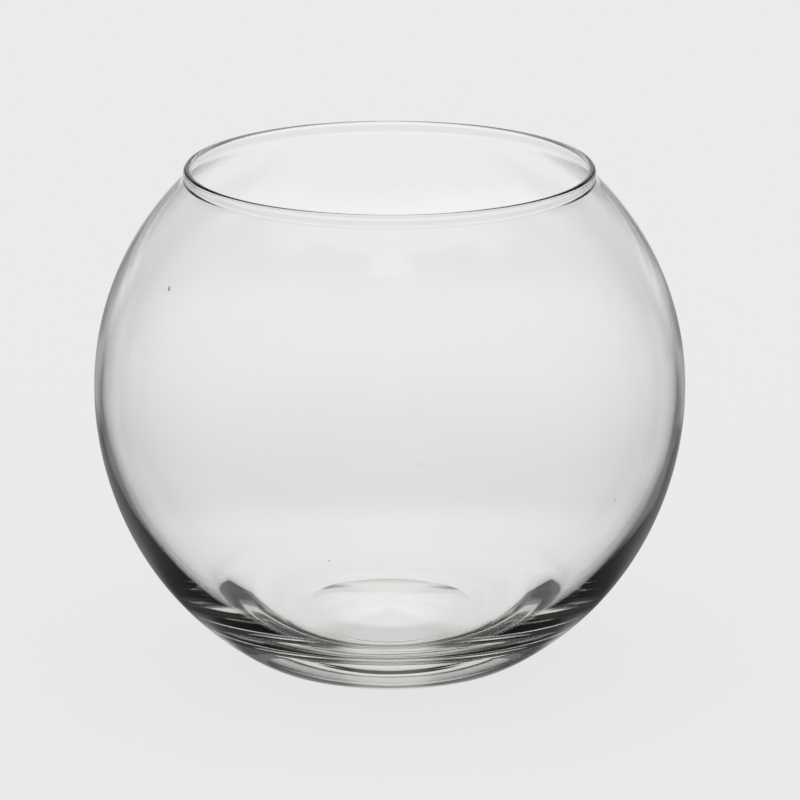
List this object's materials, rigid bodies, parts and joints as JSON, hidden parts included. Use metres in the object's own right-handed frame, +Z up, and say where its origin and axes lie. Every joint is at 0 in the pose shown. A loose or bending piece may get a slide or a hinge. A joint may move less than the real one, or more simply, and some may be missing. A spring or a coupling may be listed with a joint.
{
  "type": "rose bowl vase",
  "caption": "Clear glass globe vase with a wide open mouth, a rounded lip and a heavy flat-footed base, for floating blossoms or a low posy in water.",
  "frame": {"origin": "centre of the foot, on the surface that the bowl stands on", "axes": "+Z up along the bowl's axis of revolution, out of the mouth; +X and +Y are free, because the bowl is round"},
  "size_m": [0.152, 0.152, 0.1305],
  "materials": {
    "clear_glass": "polished, colourless soda-lime glass"
  },
  "bodies": {
    "root": {"bowl": "clear_glass"}
  },
  "joints": []
}
